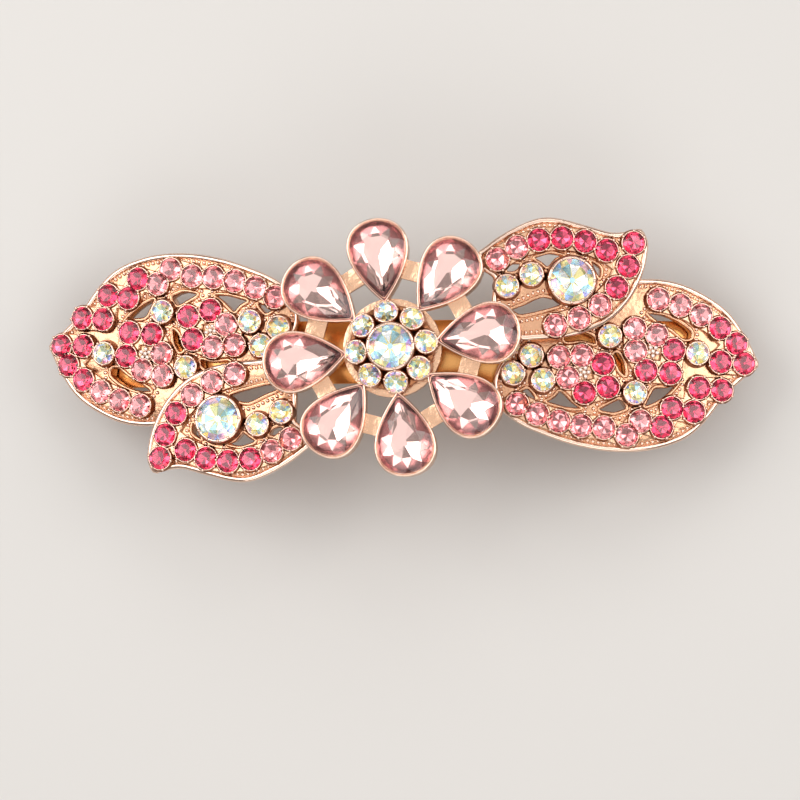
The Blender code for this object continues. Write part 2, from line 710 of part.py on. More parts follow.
petal_turns = [PETAL_TURN + 2.0 * math.pi * i / PETALS for i in range(PETALS)]
cups = []
pockets = []
for turn in petal_turns:
    cups.append(spun(lofted([inset_drop(0.0, 1.0, CUP_BASE), inset_drop(0.0, 1.0, CUP_TOP)]), turn))
    pocket = lofted([inset_drop(CUP_WALL, 1.0, CUP_BASE + CUP_FLOOR), inset_drop(CUP_WALL, 1.0, CUP_TOP + 1.0)])
    pockets.append(spun(pocket, turn))
    reach = LINK_LENGTH / 2
    corners = (
        (LINK_RADIUS - reach, -LINK_WIDTH / 2),
        (LINK_RADIUS + reach, -LINK_WIDTH / 2),
        (LINK_RADIUS + reach, LINK_WIDTH / 2),
        (LINK_RADIUS - reach, LINK_WIDTH / 2),
    )
    link_base = CUP_BASE + 0.5
    link = slab([corners], link_base, link_base + LINK_THICKNESS)
    cups.append(spun(link, turn + math.pi / PETALS))
hub = turned(
    ((POST_RADIUS, SEAT_GAP), (POST_RADIUS, HUB_BASE), (HUB_RADIUS, HUB_BASE), (HUB_RADIUS, HUB_TOP)),
    2 * CIRCLE_SIDES,
)
frame = combined(hub, gathered(cups), "UNION")
frame = combined(frame, gathered(pockets), "DIFFERENCE")
flower_place = (0.0, 0.0, STAND_HEIGHT)
put("flower_frame", solid_mesh("flower_frame", frame, ROSE_GOLD), place=flower_place)

stone_inset = CUP_WALL + STONE_GAP
stone_base = CUP_BASE + CUP_FLOOR + STONE_GAP
petal = lofted(
    [
        inset_drop(stone_inset, 0.8, stone_base),
        inset_drop(stone_inset, 1.0, stone_base + 0.8),
        inset_drop(stone_inset, 1.0, CUP_TOP),
        inset_drop(stone_inset, 0.5, CUP_TOP + PETAL_CROWN),
    ]
)
petal_mesh = solid_mesh("petal_stone", petal, PINK_GLASS)
for number, turn in enumerate(petal_turns, 1):
    put("petal_stone_%d" % number, petal_mesh, None, flower_place, (0.0, 0.0, turn))

# Rosette: a low cone with a large crystal on its flat top and eight small ones round its flank
rosette_profile = (
    (ROSETTE_RADIUS, ROSETTE_BASE),
    (ROSETTE_RADIUS, ROSETTE_BASE + ROSETTE_EDGE),
    (ROSETTE_TOP_RADIUS, ROSETTE_BASE + ROSETTE_HEIGHT),
)
rosette = solid_mesh("rosette_cup", turned(rosette_profile, 2 * CIRCLE_SIDES), ROSE_GOLD)
put("rosette_cup", rosette, place=flower_place)

centre_place = (0.0, 0.0, STAND_HEIGHT + ROSETTE_BASE + ROSETTE_HEIGHT + STONE_GAP)
centre_mesh = crystal_mesh("centre_crystal", CENTRE_DIAMETER, CENTRE_HEIGHT, 12)
put("centre_crystal", centre_mesh, place=centre_place)

flank_drop = ROSETTE_HEIGHT - ROSETTE_EDGE
flank_run = ROSETTE_RADIUS - ROSETTE_TOP_RADIUS
flank_tilt = math.atan2(flank_drop, flank_run)
flank_share = (ROSETTE_RADIUS - HALO_RADIUS) / flank_run
halo_height = STAND_HEIGHT + ROSETTE_BASE + ROSETTE_EDGE + flank_drop * flank_share
for number, turn in enumerate(petal_turns, 1):
    outward = Vector((math.cos(turn), math.sin(turn), 0.0))
    normal = outward * math.sin(flank_tilt) + Vector((0.0, 0.0, math.cos(flank_tilt)))
    place = outward * HALO_RADIUS + Vector((0.0, 0.0, halo_height)) + normal * STONE_GAP
    put("halo_crystal_%d" % number, small_crystal, None, place, (0.0, flank_tilt, turn))
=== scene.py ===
"""Looks of the rhinestone barrette: castings, beds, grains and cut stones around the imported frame."""

import math
import random
from itertools import combinations

import bmesh
import bpy
from mathutils import Matrix, Vector


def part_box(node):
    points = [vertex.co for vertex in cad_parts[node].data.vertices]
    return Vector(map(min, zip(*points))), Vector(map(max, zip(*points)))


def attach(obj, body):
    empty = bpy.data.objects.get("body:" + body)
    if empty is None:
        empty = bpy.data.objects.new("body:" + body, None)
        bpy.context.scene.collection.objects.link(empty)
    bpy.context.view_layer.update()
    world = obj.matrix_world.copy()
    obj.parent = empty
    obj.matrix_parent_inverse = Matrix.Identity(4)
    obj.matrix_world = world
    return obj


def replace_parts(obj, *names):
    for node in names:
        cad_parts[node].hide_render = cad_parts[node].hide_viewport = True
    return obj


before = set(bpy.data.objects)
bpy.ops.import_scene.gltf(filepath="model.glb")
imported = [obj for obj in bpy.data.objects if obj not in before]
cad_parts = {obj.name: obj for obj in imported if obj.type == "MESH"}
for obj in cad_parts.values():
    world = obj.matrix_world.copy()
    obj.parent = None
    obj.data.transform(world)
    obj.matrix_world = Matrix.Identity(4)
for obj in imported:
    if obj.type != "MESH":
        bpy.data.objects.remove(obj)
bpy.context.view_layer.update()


# Clip: the curved back plate, hinge bracket, catch and long arm of a hair barrette, folded from gilt
# steel sheet and riveted under the ornament. They keep the frame's shapes, with the sharp edges broken.
MM = 0.001  # in metres: the sizes of the pieces are in millimetres
GILT = "#E6AA68"
CLIP_SHEETS = ("clip_plate", "hinge_bracket", "catch_base")
MOVING_SHEETS = ("catch_prong_front", "catch_prong_rear", "clip_arm")
SHEET_EDGE = 0.12
EDGE_SEGMENTS = 2
SOFT_ANGLE = math.radians(40)  # a sharper bend is an edge
WELD_GAP = 0.002  # corners of triangles closer than this are one
WAVE_DETAIL = 4.0
WAVE_DEPTH = 0.1


def linear(code):
    """Linear colour from an sRGB hex code."""
    parts = [int(code[i : i + 2], 16) / 255 for i in (1, 3, 5)]
    return [p / 12.92 if p <= 0.04045 else ((p + 0.055) / 1.055) ** 2.4 for p in parts] + [1.0]


def add_node(tree, kind, sockets=None, **settings):
    """A node with its settings by name. A socket takes a value, or the output that is linked to it."""
    node = tree.nodes.new(kind)
    for name, value in settings.items():
        setattr(node, name, value)
    for socket, value in (sockets or {}).items():
        if isinstance(value, bpy.types.NodeSocket):
            tree.links.new(value, node.inputs[socket])
        else:
            node.inputs[socket].default_value = value
    return node


def finish(name, colour, **sockets):
    """A Principled material, with underscores for the spaces in socket names."""
    made = bpy.data.materials.new(name)
    made.use_nodes = True
    shader = made.node_tree.nodes["Principled BSDF"]
    shader.inputs["Base Color"].default_value = linear(colour)
    for socket, value in sockets.items():
        shader.inputs[socket.replace("_", " ")].default_value = value
    return made


def plated(name, colour, wave, smooth, dull, relief):
    """A metal whose surface waves at the given millimetres, between two roughnesses, with a relief."""
    made = finish(name, colour, Metallic=1.0)
    tree = made.node_tree
    shader = tree.nodes["Principled BSDF"]
    place = add_node(tree, "ShaderNodeTexCoord").outputs["Object"]
    pattern = {"Vector": place, "Scale": 1.0 / (wave * MM), "Detail": WAVE_DETAIL}
    waves = add_node(tree, "ShaderNodeTexNoise", pattern).outputs["Fac"]
    polish = add_node(tree, "ShaderNodeMapRange", {"Value": waves, "To Min": smooth, "To Max": dull})
    height = {"Height": waves, "Strength": relief, "Distance": WAVE_DEPTH * MM}
    bump = add_node(tree, "ShaderNodeBump", height)
    tree.links.new(polish.outputs["Result"], shader.inputs["Roughness"])
    tree.links.new(bump.outputs["Normal"], shader.inputs["Normal"])
    return made


def new_group(name, **inputs):
    """A Geometry Nodes group with the named inputs, and its input sockets."""
    group = bpy.data.node_groups.new(name, "GeometryNodeTree")
    group.interface.new_socket("Geometry", in_out="INPUT", socket_type="NodeSocketGeometry")
    for label, kind in inputs.items():
        group.interface.new_socket(label, in_out="INPUT", socket_type="NodeSocket" + kind)
    group.interface.new_socket("Geometry", in_out="OUTPUT", socket_type="NodeSocketGeometry")
    return group, add_node(group, "NodeGroupInput").outputs


def add_group(target, label, group, **values):
    """A Geometry Nodes modifier on an object, with its inputs set by identifier."""
    modifier = target.modifiers.new(label, "NODES")
    modifier.node_group = group
    for item in group.interface.items_tree:
        if item.in_out == "INPUT" and item.name in values:
            modifier[item.identifier] = values[item.name]


def close_group(group, geometry, made, chosen=True):
    """Ends a group with real geometry, and puts the finish on its chosen faces."""
    real = add_node(group, "GeometryNodeRealizeInstances", {"Geometry": geometry})
    coat = {"Geometry": real.outputs[0], "Selection": chosen, "Material": made}
    coated = add_node(group, "GeometryNodeSetMaterial", coat)
    add_node(group, "NodeGroupOutput", {0: coated.outputs[0]})


soft_shading, given = new_group("soft_shading", Angle="Float", Finish="Material")
bend = add_node(soft_shading, "GeometryNodeInputMeshEdgeAngle").outputs["Unsigned Angle"]
shallow = add_node(soft_shading, "FunctionNodeCompare", {0: bend, 1: given["Angle"]}, operation="LESS_THAN")
edge_rule = {"Geometry": given["Geometry"], "Shade Smooth": shallow.outputs["Result"]}
edges = add_node(soft_shading, "GeometryNodeSetShadeSmooth", edge_rule, domain="EDGE")
faces = add_node(soft_shading, "GeometryNodeSetShadeSmooth", {"Geometry": edges.outputs[0]})
close_group(soft_shading, faces.outputs[0], given["Finish"])


def dress(name, made, edge):
    """Gives a CAD node a finish, breaks its sharp edges by the given millimetres and softens its curves."""
    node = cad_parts[name]
    node.data.materials.clear()
    node.data.materials.append(made)
    node.modifiers.new("weld", "WELD").merge_threshold = WELD_GAP * MM
    bevel = node.modifiers.new("broken_edge", "BEVEL")
    bevel.width = edge * MM
    bevel.segments = EDGE_SEGMENTS
    bevel.limit_method = "ANGLE"
    bevel.angle_limit = SOFT_ANGLE
    add_group(node, "soft_curves", soft_shading, Angle=SOFT_ANGLE, Finish=made)
    return node


# Gold-coloured plating on rolled steel: a satin orange gold with faint waves from the rolling
gilt_steel = plated("gilt_rolled_steel", GILT, wave=1.5, smooth=0.16, dull=0.28, relief=0.1)
for name in CLIP_SHEETS + MOVING_SHEETS:
    dress(name, gilt_steel, SHEET_EDGE)


# Spring, pin and rivets: a bowed strip presses the arm away from the plate, and the arm turns on a pin.
# They are unplated hardened steel, and the rivets are headed over on the plate.
STEEL = "#8F8880"
WIRE_EDGE = 0.06

# Hardened steel as tumbled: grey and a little streaky, with soft highlights
spring_steel = plated("tumbled_spring_steel", STEEL, wave=0.8, smooth=0.22, dull=0.38, relief=0.1)
for name in ("hinge_rivet", "catch_rivet", "hinge_pin", "tension_bow"):
    dress(name, spring_steel, WIRE_EDGE)


# Leaf castings: four openwork trays of zinc alloy, cast in one piece each, plated and polished. A round
# rim follows the outline and every opening, and a row of cast grains runs beside it.
ORNAMENT_BODY = "barrette"
ROSE_GOLD = "#F7D5C0"
TRAY_GOLD = "#E0AD8A"
TRAY_EDGE = 0.1
OUTER_RIM = 0.4
OPENING_RIM = 0.28
RIM_INSET = 0.12
RIM_STEP = 0.4
RIM_SIDES = 10
GRAIN_RADIUS = 0.3
GRAIN_PITCH = 0.74
GRAIN_INSET = 0.78
GRAIN_SUBDIVISIONS = 2
UPWARD = 0.8  # the least upward part of the normal of a top face

# Bright plating on polished alloy: pale pink gold whose slow waves break up what it mirrors
rose_gold = plated("polished_rose_gold", ROSE_GOLD, wave=1.6, smooth=0.08, dull=0.2, relief=0.6)
# The same plating on the unpolished floor of a tray: duller, and deeper in colour, which is painted
# shade on the low floor
tray_gold = plated("cast_rose_gold_with_painted_shade", TRAY_GOLD, wave=0.9, smooth=0.16, dull=0.3, relief=1.0)


def piece(name, mesh):
    """An object on the ornament's body."""
    made = bpy.data.objects.new(name, mesh)
    bpy.context.collection.objects.link(made)
    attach(made, ORNAMENT_BODY)
    return made


def grown(name, guide, group, **values):
    """The plain mesh that a Geometry Nodes group makes from a guide mesh, as a piece."""
    helper = bpy.data.objects.new(name + "_guide", guide)
    bpy.context.collection.objects.link(helper)
    add_group(helper, "grow", group, **values)
    mesh = bpy.data.meshes.new_from_object(helper.evaluated_get(bpy.context.evaluated_depsgraph_get()))
    bpy.data.objects.remove(helper)
    return piece(name, mesh)


def welded(name):
    """A copy of a CAD node's mesh with its triangles joined."""
    bm = bmesh.new()
    bm.from_mesh(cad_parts[name].data)
    bmesh.ops.remove_doubles(bm, verts=bm.verts, dist=WELD_GAP * MM)
    bm.normal_update()
    return bm


def edge_loops(name, inset, lowest=-math.inf):
    """Loops of points along the edges of a node's upward faces, drawn in by the inset, longest first."""
    bm = welded(name)
    near = {}
    inward = {}
    for edge in bm.edges:
        tops = [f for f in edge.link_faces if f.normal.z > UPWARD and f.calc_center_median().z > lowest]
        if len(tops) != 1 or len(edge.link_faces) != 2:
            continue
        a, b = edge.verts
        side = tops[0].normal.cross(b.co - a.co).normalized()
        if side.dot(tops[0].calc_center_median() - a.co) < 0:
            side = -side
        for here, there in ((a, b), (b, a)):
            near.setdefault(here, []).append(there)
            inward[here] = inward.get(here, Vector()) + side
    loops = []
    while near:
        here = next(iter(near))
        loop = []
        while here:
            loop.append(here.co + inset * MM * inward[here].normalized())
            here = next((vert for vert in near.pop(here) if vert in near), None)
        loops.append(loop)
    bm.free()
    loops.sort(key=lambda loop: sum((b - a).length for a, b in zip(loop, loop[1:])), reverse=True)
    return loops


def wire(loops):
    """A mesh of closed wires."""
    points = []
    links = []
    for loop in loops:
        first = len(points)
        links += [(first + i, first + (i + 1) % len(loop)) for i in range(len(loop))]
        points += loop
    mesh = bpy.data.meshes.new("wire")
    mesh.from_pydata(points, links, [])
    return mesh


def even_curve(group, guide, pitch):
    """Nodes that turn wires into rounded curves with a point at every pitch."""
    curve = {"Curve": add_node(group, "GeometryNodeMeshToCurve", {"Mesh": guide}).outputs[0]}
    soft = add_node(group, "GeometryNodeCurveSplineType", curve, spline_type="CATMULL_ROM")
    spacing = {"Curve": soft.outputs[0], "Length": pitch}
    return add_node(group, "GeometryNodeResampleCurve", spacing, mode="LENGTH").outputs[0]


cast_rim, given = new_group("cast_rim", Radius="Float", Step="Float", Finish="Material")
path = even_curve(cast_rim, given["Geometry"], given["Step"])
section_sizes = {"Resolution": RIM_SIDES, "Radius": given["Radius"]}
section = add_node(cast_rim, "GeometryNodeCurvePrimitiveCircle", section_sizes).outputs["Curve"]
tube = add_node(cast_rim, "GeometryNodeCurveToMesh", {"Curve": path, "Profile Curve": section})
smooth = add_node(cast_rim, "GeometryNodeSetShadeSmooth", {"Geometry": tube.outputs[0]})
close_group(cast_rim, smooth.outputs[0], given["Finish"])

cast_grains, given = new_group("cast_grains", Radius="Float", Pitch="Float", Finish="Material")
path = even_curve(cast_grains, given["Geometry"], given["Pitch"])
ball_sizes = {"Radius": given["Radius"], "Subdivisions": GRAIN_SUBDIVISIONS}
ball = add_node(cast_grains, "GeometryNodeMeshIcoSphere", ball_sizes)
smooth = add_node(cast_grains, "GeometryNodeSetShadeSmooth", {"Geometry": ball.outputs["Mesh"]})
grains = {"Points": path, "Instance": smooth.outputs[0]}
copies = add_node(cast_grains, "GeometryNodeInstanceOnPoints", grains)
close_group(cast_grains, copies.outputs[0], given["Finish"])


def rim(name, loops, radius, made):
    """A round rim along loops."""
    sizes = {"Radius": radius * MM, "Step": RIM_STEP * MM}
    grown(name, wire(loops), cast_rim, Finish=made, **sizes)


for name in ("large_leaf_left", "large_leaf_right", "small_leaf_left", "small_leaf_right"):
    # The leaf body and its opening rims take the deeper gold, which paints shade on the low floor
    dress(name, tray_gold, TRAY_EDGE)
    outer, *openings = edge_loops(name, RIM_INSET)
    rim(name + "_outer_rim", [outer], OUTER_RIM, rose_gold)
    rim(name + "_opening_rims", openings, OPENING_RIM, tray_gold)
    grain_wire = wire(edge_loops(name, GRAIN_INSET))
    grain_sizes = {"Radius": GRAIN_RADIUS * MM, "Pitch": GRAIN_PITCH * MM}
    grains = grown(name + "_grains", grain_wire, cast_grains, Finish=rose_gold, **grain_sizes)


# Pave stones: small round chatons of pressed glass with foiled backs, fuchsia near the leaf tips and light
# rose elsewhere. Each sits in a cup on a raised bed, and the grains of the cup are pushed over its edge.
FUCHSIA = "#EF7A99"
# Each pair: a light foil, and a deeper one that paints the reflection of dark surroundings on every other
# facet
FUCHSIA_LIT_AND_SHADED_FOILS = ("#FFBCCB", "#B85E7A")
LIGHT_ROSE = "#FBBCC0"
ROSE_LIT_AND_SHADED_FOILS = ("#FFE6E4", "#CE9296")
SHADOW_GOLD = "#A9714F"
BED_GOLD = "#E6B998"
GLASS_IOR = 1.55
FOIL_ROUGHNESS = 0.05
CHATON_DIAMETER = 3.06
CHATON_CUT = {"crown": 0.52, "girdle": 0.08, "back": ((0.62, 0.16, 0.0), (0.1, 0.31, 0.5)), "facets": 8}
CHATON_CUP = {"depth": 1.0, "grains": 6, "wall": 0.12, "drop": 0.56, "skirt": 0.2}
TABLE_SHARE = 0.58  # the table and the ring of kites, as shares of the girdle and the crown
KITE_SHARE = 0.83
KITE_DEPTH = 0.52
SAME_FACET = math.radians(1)  # flatter bends don't split a facet
BACK_SLOPE = 0.05  # the most upward part of the normal of a foiled facet
GIRDLE_REACH = 0.01  # a facet with a corner this close below the girdle touches it
CUP_SIDES = 28
CUP_LIP = 0.06
LIP_INNER_DROP = 0.1
LIP_OUTER_DROP = 0.12
CUP_GRAIN = 0.22
CUP_GRAIN_OUT = 0.1
CUP_GRAIN_RISE = 0.02
SAME_PLANE = 0.9985  # the least cosine between triangles of one flat top
TURN_SEED = 3
BED_SIDES = 16
BED_HALF_WIDTH = 1.65
BED_DROP = 0.93
BED_FOOT = 1.4
BED_EDGE = 0.15
BED_REACH = 3.75

# Glass coloured through: clear, with sharp facets
fuchsia_glass = finish("fuchsia_glass", FUCHSIA, Roughness=0.0, IOR=GLASS_IOR, Transmission_Weight=1.0)
rose_glass = finish("light_rose_glass", LIGHT_ROSE, Roughness=0.0, IOR=GLASS_IOR, Transmission_Weight=1.0)


def foils(label, codes, roughness):
    """Mirror finishes in several colours."""
    numbered = enumerate(codes, 1)
    return [finish("%s_%d" % (label, i), code, Metallic=1.0, Roughness=roughness) for i, code in numbered]


# Lacquered silver foil on the back: a tinted mirror seen through the glass. Every other facet has a
# deeper foil, a painted reflection of the dark parts of the room, so that light and deep facets take turns
fuchsia_foils = foils("fuchsia_foil", FUCHSIA_LIT_AND_SHADED_FOILS, FOIL_ROUGHNESS)
rose_foils = foils("light_rose_foil", ROSE_LIT_AND_SHADED_FOILS, FOIL_ROUGHNESS)
# Plating low between the stones, where no polishing reaches: dull, and painted brown as the shade
# that falls there
shadow_gold = plated("painted_shade_rose_gold", SHADOW_GOLD, wave=0.35, smooth=0.25, dull=0.4, relief=0.4)
# Plating on the beds, rough from the setter's tools: it glints unevenly
bed_gold = plated("tooled_rose_gold", BED_GOLD, wave=0.6, smooth=0.15, dull=0.35, relief=1.0)


def finished_mesh(name, bm, finishes, front, smooth):
    """A mesh from a bmesh, with its finishes and shading, and a mark on its front faces."""
    mesh = bpy.data.meshes.new(name)
    marks = [face in front for face in bm.faces]
    for face in bm.faces:
        face.smooth = smooth
    bm.to_mesh(mesh)
    bm.free()
    mesh.attributes.new("front", "BOOLEAN", "FACE").data.foreach_set("value", marks)
    for made in finishes:
        mesh.materials.append(made)
    return mesh


def cut_stone(name, shape, edge_foils, middle_foils, crown, girdle, back, facets):
    """A faceted stone hanging below its table. The shape gives the point at a share of the girdle and a
    turn, and the back is rings of share, depth and lag. The edge foils go round the facets next to the
    girdle in turn, and the middle foils round those inside them. The front is left for the glass."""
    step = 2 * math.pi / facets
    foot = -crown - girdle
    # Rings from the table down: share of the girdle, height, lag in facets, and points for each facet
    levels = [(TABLE_SHARE, 0.0, 0.5, 1), (KITE_SHARE, -KITE_DEPTH * crown, 0.0, 1)]
    levels += [(1.0, height, 0.25, 2) for height in (-crown, foot)]
    levels += [(share, foot - depth, lag, 1) for share, depth, lag in back]
    bm = bmesh.new()
    for share, height, lag, split in levels:
        for i in range(facets * split):
            x, y = shape(share, step * (i / split + lag))
            bm.verts.new((x * MM, y * MM, height * MM))
    bmesh.ops.convex_hull(bm, input=bm.verts)
    bmesh.ops.dissolve_limit(bm, angle_limit=SAME_FACET, verts=bm.verts, edges=bm.edges)
    bm.normal_update()
    middle = Vector(shape(0.0, 0.0)) * MM
    backs = [f for f in bm.faces if f.normal.z < BACK_SLOPE]
    front = {f for f in bm.faces if f not in backs}
    backs.sort(key=lambda f: math.atan2(*(f.calc_center_median().xy - middle)))
    edges = [f for f in backs if any(v.co.z > (foot - GIRDLE_REACH) * MM for v in f.verts)]
    for i, face in enumerate(edges):
        face.material_index = i % len(edge_foils)
    for i, face in enumerate(f for f in backs if f not in edges):
        face.material_index = len(edge_foils) + i % len(middle_foils)
    return finished_mesh(name, bm, edge_foils + middle_foils, front, smooth=False)


def round_stone(name, diameter, edge_foils, middle_foils, cut):
    """A stone with a round girdle."""

    def shape(share, turn):
        return diameter / 2 * share * math.cos(turn), diameter / 2 * share * math.sin(turn)

    return cut_stone(name, shape, edge_foils, middle_foils, **cut)


def circle(sides, radius, height, start=0.0):
    """Points round the vertical axis, whose first one is turned by a share of their spacing."""
    turns = [2 * math.pi * (i + start) / sides for i in range(sides)]
    return [Vector((radius * math.cos(turn), radius * math.sin(turn), height)) * MM for turn in turns]


def grain_ball(bm, radius, place):
    """A cast grain at a place. Returns its faces."""
    spot = Matrix.Translation(place)
    ball = bmesh.ops.create_icosphere(bm, subdivisions=GRAIN_SUBDIVISIONS, radius=radius * MM, matrix=spot)
    return {face for vert in ball["verts"] for face in vert.link_faces}


def cup(name, diameter, depth, grains, wall, drop, skirt):
    """A ring of metal round a girdle with grains pushed over it, hanging below the table. Its lip and grains
    are the front, and its skirt is in the shade."""
    bm = bmesh.new()
    radius = diameter / 2
    inside = radius - CUP_LIP
    outside = radius + wall
    corners = [(inside, -depth), (inside, -drop - LIP_INNER_DROP), (radius + CUP_LIP, -drop)]
    corners += [(outside, -drop - LIP_OUTER_DROP), (outside + skirt, -depth)]
    rings = [[bm.verts.new(point) for point in circle(CUP_SIDES, *corner)] for corner in corners]
    front = set()
    for low, high in zip(rings, rings[1:] + rings[:1]):
        for i in range(CUP_SIDES):
            face = bm.faces.new((low[i], low[i - 1], high[i - 1], high[i]))
            if rings[-1] not in (low, high):
                front.add(face)
    for place in circle(grains, radius + CUP_GRAIN_OUT, CUP_GRAIN_RISE - drop, start=0.5):
        front |= grain_ball(bm, CUP_GRAIN, place)
    bmesh.ops.recalc_face_normals(bm, faces=bm.faces)
    return finished_mesh(name, bm, [shadow_gold], front, smooth=True)


def tables(name):
    """Middle and direction of every stone top on a CAD node: a flat patch with all its neighbours lower."""
    bm = welded(name)
    found = []
    seen = set()
    for first in bm.faces:
        if first.index in seen or first.normal.z < UPWARD:
            continue
        patch = [first]
        border = []
        seen.add(first.index)
        for face in patch:
            for near in (f for edge in face.edges for f in edge.link_faces):
                if near.normal.dot(face.normal) < SAME_PLANE:
                    border.append(near)
                elif near.index not in seen:
                    seen.add(near.index)
                    patch.append(near)
        area = sum(f.calc_area() for f in patch)
        middle = sum((f.calc_center_median() * f.calc_area() for f in patch), Vector()) / area
        facing = sum((f.normal * f.calc_area() for f in patch), Vector()).normalized()
        if all((f.calc_center_median() - middle).dot(facing) < 0 for f in border):
            found.append((middle, facing))
    bm.free()
    return found


set_stones, given = new_group("set_stones", Stone="Object", Finish="Material")
stone = add_node(set_stones, "GeometryNodeObjectInfo", {"Object": given["Stone"]})
carried = {}
for label, kind in (("facing", "FLOAT_VECTOR"), ("heading", "FLOAT"), ("front", "BOOLEAN")):
    attribute = add_node(set_stones, "GeometryNodeInputNamedAttribute", {"Name": label}, data_type=kind)
    carried[label] = attribute.outputs["Attribute"]
tilt = add_node(set_stones, "FunctionNodeAlignRotationToVector", {"Vector": carried["facing"]}, axis="Z")
turn = {"Axis": (0, 0, 1), "Angle": carried["heading"]}
spin = add_node(set_stones, "FunctionNodeAxisAngleToRotation", turn)
both = {"Rotation": tilt.outputs[0], "Rotate By": spin.outputs[0]}
turned = add_node(set_stones, "FunctionNodeRotateRotation", both, rotation_space="LOCAL")
setting = {"Points": given["Geometry"], "Instance": stone.outputs["Geometry"], "Rotation": turned.outputs[0]}
copies = add_node(set_stones, "GeometryNodeInstanceOnPoints", setting)
close_group(set_stones, copies.outputs[0], given["Finish"], carried["front"])


def set_all(name, places, mesh, coat, headings=None):
    """Copies of a mesh on places of middle and direction, as one piece. Without headings each copy is turned
    by a seeded random angle. The finish goes on the front faces."""
    chance = random.Random(TURN_SEED)
    guide = bpy.data.meshes.new("places")
    guide.from_pydata([middle for middle, _ in places], [], [])
    if headings is None:
        headings = [chance.uniform(0, 2 * math.pi) for _ in places]
    directions = [value for _, facing in places for value in facing]
    guide.attributes.new("facing", "FLOAT_VECTOR", "POINT").data.foreach_set("vector", directions)
    guide.attributes.new("heading", "FLOAT", "POINT").data.foreach_set("value", headings)
    pattern = bpy.data.objects.new(name + "_pattern", mesh)
    made = grown(name, guide, set_stones, Stone=pattern, Finish=coat)
    bpy.data.objects.remove(pattern)
    return made


def bed(name, places):
    """A raised bed: a low block with round ends under every two neighbouring stones."""
    bm = bmesh.new()
    section = [(BED_HALF_WIDTH, drop) for drop in (BED_FOOT, BED_DROP + BED_EDGE)]
    section.append((BED_HALF_WIDTH - BED_EDGE, BED_DROP))
    for pair in combinations(places, 2):
        if (pair[0][0] - pair[1][0]).length > BED_REACH * MM:
            continue
        block = []
        for middle, facing in pair:
            tilt = facing.to_track_quat("Z", "Y")
            for radius, drop in section:
                block += [bm.verts.new(middle + tilt @ point) for point in circle(BED_SIDES, radius, -drop)]
        bmesh.ops.convex_hull(bm, input=block)
    bmesh.ops.delete(bm, geom=[vert for vert in bm.verts if not vert.link_faces], context="VERTS")
    mesh = finished_mesh(name, bm, [bed_gold], set(), smooth=False)
    piece(name, mesh)


fuchsia_chaton = round_stone("fuchsia_chaton", CHATON_DIAMETER, fuchsia_foils, fuchsia_foils, CHATON_CUT)
rose_chaton = round_stone("light_rose_chaton", CHATON_DIAMETER, rose_foils, rose_foils, CHATON_CUT)
chaton_cup = cup("chaton_cup", CHATON_DIAMETER, **CHATON_CUP)

# On the left leaves, the way in which the stones change from light rose to fuchsia, and how far along it
SHADE_RULES = {
    "large_band_stones": ((-0.8, 0.6), 32.0),
    "small_band_stones": ((-0.6, -0.8), 23.2),
    "tip_heart_stones": ((-0.8, 0.6), 27.3),
    "inner_heart_stones": ((-0.8, 0.6), 22.0),
}
for row, ((along_x, along_y), change) in SHADE_RULES.items():
    for side, sign in (("left", 1), ("right", -1)):
        node = row + "_" + side
        places = tables(node)
        dark = [p for p in places if sign * (p[0].x * along_x + p[0].y * along_y) > change * MM]
        light = [p for p in places if p not in dark]
        stones = set_all(node + "_fuchsia", dark, fuchsia_chaton, fuchsia_glass)
        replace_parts(stones, node)
        set_all(node + "_light_rose", light, rose_chaton, rose_glass)
        set_all(node + "_cups", places, chaton_cup, rose_gold)
        bed(node + "_bed", places)


# Heart stars: six cast grains in the gap inside each heart-shaped ring of stones. They are part of the
# leaf casting and are left as cast.
FROSTED_GOLD = "#FFF0E6"
STAR_GRAIN = 0.31
STAR_RADIUS = 0.62
STAR_DROP = 0.6
STAR_POINTS = 5

# The same plating left as cast on the grains: frosted, so it is pale from every side
frosted_gold = plated("frosted_rose_gold", FROSTED_GOLD, wave=0.3, smooth=0.4, dull=0.55, relief=0.2)

bm = bmesh.new()
for place in circle(1, 0.0, -STAR_DROP) + circle(STAR_POINTS, STAR_RADIUS, -STAR_DROP):
    grain_ball(bm, STAR_GRAIN, place)
star = finished_mesh("heart_star", bm, [frosted_gold], set(bm.faces), smooth=True)
rows = ("tip_heart_stones", "inner_heart_stones")
hearts = []
for name in [row + "_" + side for row in rows for side in ("left", "right")]:
    ring = tables(name)
    middle = sum((place for place, _ in ring), Vector()) / len(ring)
    hearts.append((middle, sum((direction for _, direction in ring), Vector()).normalized()))
set_all("heart_stars", hearts, star, frosted_gold)


# Aurora crystals: clear chatons in two sizes whose back facets carry a vapour coat that shifts between
# pastel colours. Each sits in a cup with grains on a leaf or on the rosette.
EDGE_COATS = ("#B4CFFF", "#FFFFFF", "#CDBBFF", "#FFE9B0", "#FFC9DF", "#FFEFA0", "#C6E2FA")
MIDDLE_COATS = ("#FFF3A8", "#FFFFFF", "#FFE9A0", "#C8F2FF")
COAT_ROUGHNESS = 0.16
CLEAR = "#FFFFFF"
CRYSTAL_IOR = 1.6
FILM_NANOMETRES = 380.0
FILM_IOR = 1.7
SMALL_DIAMETER = 2.9
SMALL_CUT = {"crown": 0.6, "girdle": 0.08, "back": ((0.6, 0.14, 0.0), (0.14, 0.26, 0.5)), "facets": 8}
SMALL_CUP = {"depth": 1.6, "grains": 5, "wall": 0.2, "drop": 0.5, "skirt": 0.3}
LARGE_DIAMETER = 5.8
LARGE_CUT = {"crown": 1.0, "girdle": 0.1, "back": ((0.64, 0.32, 0.0), (0.14, 0.6, 0.5)), "facets": 10}
LARGE_CUP = {"depth": 2.3, "grains": 12, "wall": 0.35, "drop": 0.85, "skirt": 0.3}

